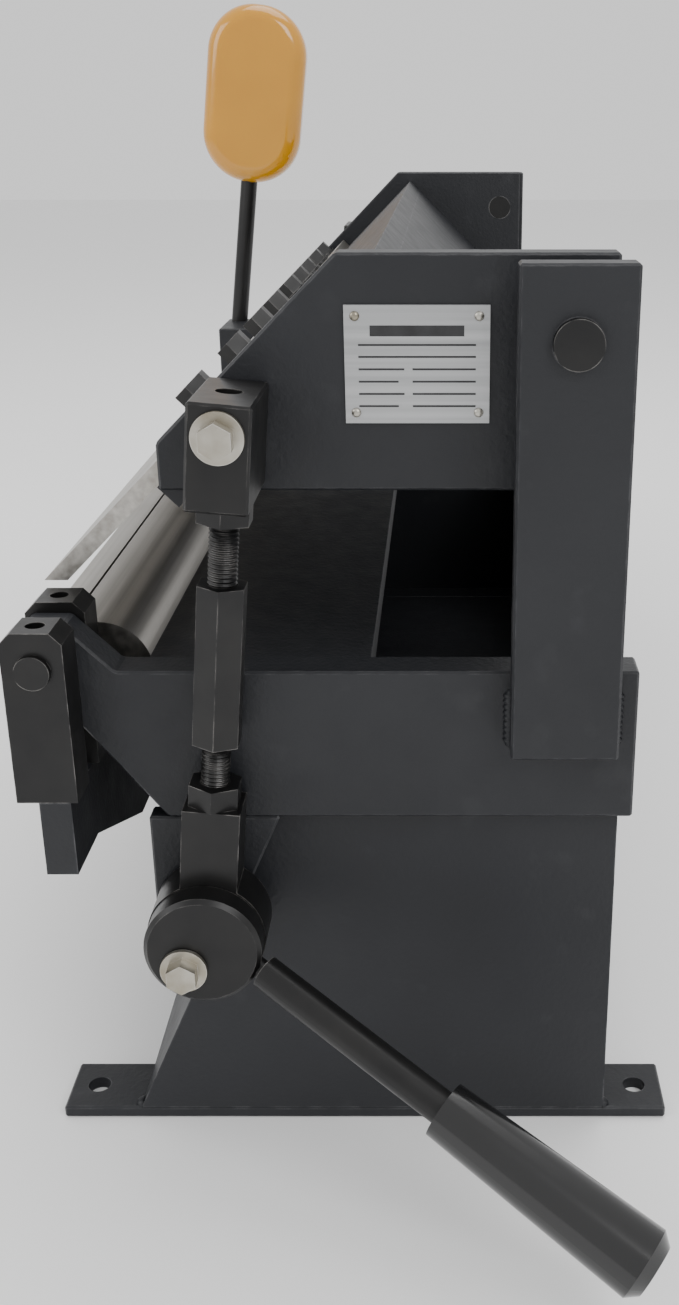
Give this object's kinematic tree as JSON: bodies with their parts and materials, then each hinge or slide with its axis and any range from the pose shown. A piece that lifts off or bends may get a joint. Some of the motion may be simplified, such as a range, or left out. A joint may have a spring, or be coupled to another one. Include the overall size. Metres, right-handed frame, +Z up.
{
  "type": "sheet metal brake",
  "caption": "Bench pan and box brake: clamping beam with separate fingers, eccentric clamps at both ends, hinged bending leaf with handle.",
  "frame": {"origin": "on the ground, midway between the two foot bars and midway along them", "axes": "X along the bending line, -Y towards the operator, +Z up"},
  "size_m": [0.8938, 0.2773, 0.4527],
  "materials": {
    "grey_paint": "hammered dark grey enamel",
    "ground_steel": "ground steel",
    "zinc_steel": "zinc plated",
    "plate_metal": "printed aluminium",
    "black_oxide": "black oxide",
    "black_plastic": "gloss black phenolic",
    "yellow_dip": "glossy yellow dipped vinyl"
  },
  "bodies": {
    "frame": {"base_front_panel": "grey_paint", "base_rear_panel": "grey_paint", "base_sides": "grey_paint", "base_tray": "grey_paint", "bed_bearer": "grey_paint", "bed_edge_bar": "ground_steel", "bed_plate": "grey_paint", "clamp_brackets": "grey_paint", "eccentric_pivot_bolts": "zinc_steel", "foot_bars": "grey_paint", "left_lower_side_plate": "grey_paint", "left_pivot_pin": "black_oxide", "left_rear_post": "grey_paint", "pivot_spacer_rings": "grey_paint", "right_lower_side_plate": "grey_paint", "right_pivot_pin": "black_oxide", "right_rear_post": "grey_paint"},
    "beam": {"beam_front_plate": "grey_paint", "beam_rear_plate": "grey_paint", "finger_1": "ground_steel", "finger_2": "ground_steel", "finger_3": "ground_steel", "finger_4": "ground_steel", "finger_5": "ground_steel", "finger_6": "ground_steel", "finger_7": "ground_steel", "finger_8": "ground_steel", "finger_9": "ground_steel", "finger_bolts": "black_oxide", "left_upper_side_plate": "grey_paint", "nameplate": "plate_metal", "right_upper_side_plate": "grey_paint"},
    "leaf": {"bending_handle_grip": "yellow_dip", "bending_handle_rod": "black_oxide", "bending_handle_socket": "grey_paint", "hinge_pins": "black_oxide", "leaf_bar": "ground_steel", "leaf_web": "grey_paint", "left_leaf_inner_lug": "black_oxide", "left_leaf_outer_lug": "black_oxide", "right_leaf_inner_lug": "black_oxide", "right_leaf_outer_lug": "black_oxide"},
    "right_lever": {"right_eccentric_disc": "black_oxide", "right_lever_rod": "black_oxide", "right_lever_grip": "black_plastic"},
    "right_link": {"right_link_clevis": "black_oxide", "right_clevis_bolt": "zinc_steel", "right_link_studs": "black_oxide", "right_link_lock_nuts": "black_oxide", "right_link_coupling": "black_oxide", "right_eccentric_strap": "black_oxide"},
    "left_lever": {"left_eccentric_disc": "black_oxide", "left_lever_rod": "black_oxide", "left_lever_grip": "black_plastic"},
    "left_link": {"left_link_clevis": "black_oxide", "left_clevis_bolt": "zinc_steel", "left_link_studs": "black_oxide", "left_link_lock_nuts": "black_oxide", "left_link_coupling": "black_oxide", "left_eccentric_strap": "black_oxide"}
  },
  "joints": [
    {"name": "right_lever_turn", "type": "hinge", "parent": "frame", "child": "right_lever", "pos_m": [0.34831, -0.059, 0.0965], "axis": [1, 0, 0], "range_deg": [0, 135]},
    {"name": "left_lever_turn", "type": "hinge", "parent": "frame", "child": "left_lever", "pos_m": [-0.34831, -0.059, 0.0965], "axis": [1, 0, 0], "range_deg": [0, 136]},
    {"name": "beam_close", "type": "hinge", "parent": "frame", "child": "beam", "pos_m": [0, 0.073, 0.309], "axis": [1, 0, 0], "range_deg": [0, 4.98]},
    {"name": "right_link_turn", "type": "hinge", "parent": "right_lever", "child": "right_link", "pos_m": [0.34831, -0.05242, 0.10308], "axis": [-1, 0, 0], "range_deg": [0, 141.8]},
    {"name": "left_link_turn", "type": "hinge", "parent": "left_lever", "child": "left_link", "pos_m": [-0.34831, -0.05242, 0.10308], "axis": [-1, 0, 0], "range_deg": [0, 141.8]},
    {"name": "leaf_swing", "type": "hinge", "parent": "frame", "child": "leaf", "pos_m": [0, -0.1045, 0.2025], "axis": [-1, 0, 0], "range_deg": [0, 120]}
  ],
  "couplings": [
    {"joint": "left_lever_turn", "follows": "right_lever_turn", "ratio": 1},
    {"joint": "beam_close", "follows": "right_lever_turn", "ratio": 0.036154},
    {"joint": "right_link_turn", "follows": "right_lever_turn", "ratio": 1.0432},
    {"joint": "left_link_turn", "follows": "right_lever_turn", "ratio": 1.0432}
  ]
}
